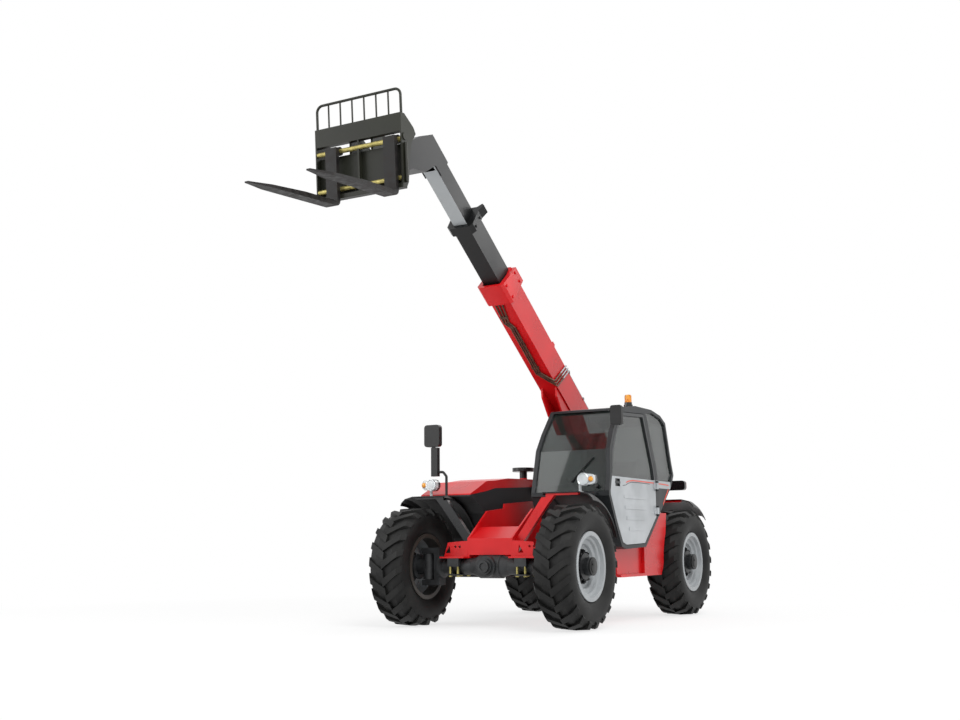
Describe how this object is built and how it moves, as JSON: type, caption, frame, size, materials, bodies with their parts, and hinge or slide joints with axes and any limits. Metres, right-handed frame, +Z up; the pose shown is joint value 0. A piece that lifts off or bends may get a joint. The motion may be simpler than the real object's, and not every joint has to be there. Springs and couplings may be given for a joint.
{
  "type": "telehandler",
  "caption": "Compact telehandler: red frame and boom, black telescopic sections, pallet forks, side cab, all wheels driven and steered.",
  "frame": {"origin": "On the ground plane under the tyres, midway along the overall length from the rear tow hitch to the fork tips, in the middle of the width.", "axes": "+X points forward along the forks, +Y to the left side of the machine, +Z up."},
  "size_m": [7.2116, 2.2606, 4.7755],
  "materials": {
    "red_paint": "gloss enamel",
    "dark_grey_paint": "satin",
    "black_paint": "satin",
    "olive_black_paint": "satin",
    "fork_black": "matt",
    "cab_grey": "satin",
    "door_silver": "metallic satin",
    "rim_silver": "satin",
    "cast_grey": "cast",
    "tyre_rubber": "rubber",
    "black_plastic": "moulded",
    "tinted_glass": "clear tinted",
    "clear_lens": "clear lens",
    "amber_lens": "translucent",
    "red_lens": "lens",
    "zinc_yellow": "yellow passivated zinc",
    "steel_pipe": "coated pipe",
    "chrome_rod": "hard chrome",
    "seat_fabric": "woven"
  },
  "bodies": {
    "chassis": {"chassis_frame": "red_paint", "belly_tank": "red_paint", "counterweight": "red_paint", "front_axle": "cast_grey", "rear_axle": "cast_grey", "fenders_front": "black_plastic", "fenders_rear": "black_plastic", "cab_shell": "cab_grey", "cab_glass": "tinted_glass", "seat": "seat_fabric", "steering_column": "black_plastic", "engine_bay": "dark_grey_paint", "engine_block": "cast_grey", "mirrors": "black_plastic", "headlamps": "clear_lens", "beacon": "amber_lens", "rear_lamps": "red_lens"},
    "door": {"cab_door": "door_silver", "door_glass": "tinted_glass"},
    "hood": {"engine_hood": "red_paint"},
    "boom_outer": {"boom_outer": "red_paint", "boom_pipes": "steel_pipe"},
    "boom_middle": {"boom_middle": "black_paint"},
    "boom_inner": {"boom_inner": "black_paint", "boom_head": "black_paint", "tilt_barrel": "black_paint"},
    "carriage": {"carriage": "olive_black_paint", "fork_shafts": "zinc_yellow", "forks": "fork_black", "backrest": "olive_black_paint"},
    "lift_barrel": {"lift_barrel": "black_paint"},
    "lift_rod": {"lift_rod": "chrome_rod"},
    "tilt_rod": {"tilt_rod": "chrome_rod"},
    "wheel_front_left": {"rim_front_left": "rim_silver", "tyre_front_left": "tyre_rubber"},
    "knuckle_front_left": {"knuckle_front_left": "cast_grey"},
    "wheel_front_right": {"rim_front_right": "rim_silver", "tyre_front_right": "tyre_rubber"},
    "knuckle_front_right": {"knuckle_front_right": "cast_grey"},
    "wheel_rear_left": {"rim_rear_left": "rim_silver", "tyre_rear_left": "tyre_rubber"},
    "knuckle_rear_left": {"knuckle_rear_left": "cast_grey"},
    "wheel_rear_right": {"rim_rear_right": "rim_silver", "tyre_rear_right": "tyre_rubber"},
    "knuckle_rear_right": {"knuckle_rear_right": "cast_grey"}
  },
  "joints": [
    {"name": "steer_front_left", "type": "hinge", "parent": "chassis", "child": "knuckle_front_left", "pos_m": [0.09962, 0.75, 0.605], "axis": [0, 0, 1], "range_deg": [-35, 35]},
    {"name": "roll_front_left", "type": "hinge", "parent": "knuckle_front_left", "child": "wheel_front_left", "pos_m": [0.09962, 0.93, 0.605], "axis": [0, 1, 0], "continuous": true},
    {"name": "steer_front_right", "type": "hinge", "parent": "chassis", "child": "knuckle_front_right", "pos_m": [0.09962, -0.75, 0.605], "axis": [0, 0, 1], "range_deg": [-35, 35]},
    {"name": "roll_front_right", "type": "hinge", "parent": "knuckle_front_right", "child": "wheel_front_right", "pos_m": [0.09962, -0.93, 0.605], "axis": [0, 1, 0], "continuous": true},
    {"name": "steer_rear_left", "type": "hinge", "parent": "chassis", "child": "knuckle_rear_left", "pos_m": [-2.71038, 0.75, 0.605], "axis": [0, 0, 1], "range_deg": [-35, 35]},
    {"name": "roll_rear_left", "type": "hinge", "parent": "knuckle_rear_left", "child": "wheel_rear_left", "pos_m": [-2.71038, 0.93, 0.605], "axis": [0, 1, 0], "continuous": true},
    {"name": "steer_rear_right", "type": "hinge", "parent": "chassis", "child": "knuckle_rear_right", "pos_m": [-2.71038, -0.75, 0.605], "axis": [0, 0, 1], "range_deg": [-35, 35]},
    {"name": "roll_rear_right", "type": "hinge", "parent": "knuckle_rear_right", "child": "wheel_rear_right", "pos_m": [-2.71038, -0.93, 0.605], "axis": [0, 1, 0], "continuous": true},
    {"name": "door_hinge", "type": "hinge", "parent": "chassis", "child": "door", "pos_m": [-1.66538, 1.096, 1.17], "axis": [0, 0, 1], "range_deg": [0, 85]},
    {"name": "hood_hinge", "type": "hinge", "parent": "chassis", "child": "hood", "pos_m": [-1.30538, -0.352, 1.478], "axis": [-1, 0, 0], "range_deg": [0, 60]},
    {"name": "boom_lift", "type": "hinge", "parent": "chassis", "child": "boom_outer", "pos_m": [-3.20638, 0, 1.358], "axis": [0, -1, 0], "range_deg": [-38, 30]},
    {"name": "boom_extend", "type": "slide", "parent": "boom_outer", "child": "boom_middle", "axis": [0.8141, 0, 0.5807], "range_m": [-0.61, 0.95]},
    {"name": "boom_extend_inner", "type": "slide", "parent": "boom_middle", "child": "boom_inner", "axis": [0.8141, 0, 0.5807], "range_m": [-0.61, 0.95]},
    {"name": "carriage_tilt", "type": "hinge", "parent": "boom_inner", "child": "carriage", "pos_m": [1.99459, 0, 4.26449], "axis": [0, 1, 0], "range_deg": [-54.5, 71.5]},
    {"name": "lift_barrel_swing", "type": "hinge", "parent": "chassis", "child": "lift_barrel", "pos_m": [-3.03838, 0, 0.941], "axis": [0, -1, 0], "range_deg": [-35.65, 28.25]},
    {"name": "lift_rod_stroke", "type": "slide", "parent": "lift_barrel", "child": "lift_rod", "axis": [0.76, 0, 0.6499], "range_m": [-0.2882, 0.2281]},
    {"name": "tilt_rod_stroke", "type": "slide", "parent": "boom_inner", "child": "tilt_rod", "axis": [0.9876, 0, -0.1572], "range_m": [-0.1133, 0.1478]}
  ],
  "couplings": [
    {"joint": "steer_front_right", "follows": "steer_front_left", "ratio": 1},
    {"joint": "steer_rear_right", "follows": "steer_rear_left", "ratio": 1},
    {"joint": "boom_extend_inner", "follows": "boom_extend", "ratio": 1},
    {"joint": "lift_barrel_swing", "follows": "boom_lift", "ratio": 0.925},
    {"joint": "lift_rod_stroke", "follows": "boom_lift", "m_per_rad": 0.43},
    {"joint": "tilt_rod_stroke", "follows": "carriage_tilt", "m_per_rad": 0.116}
  ]
}
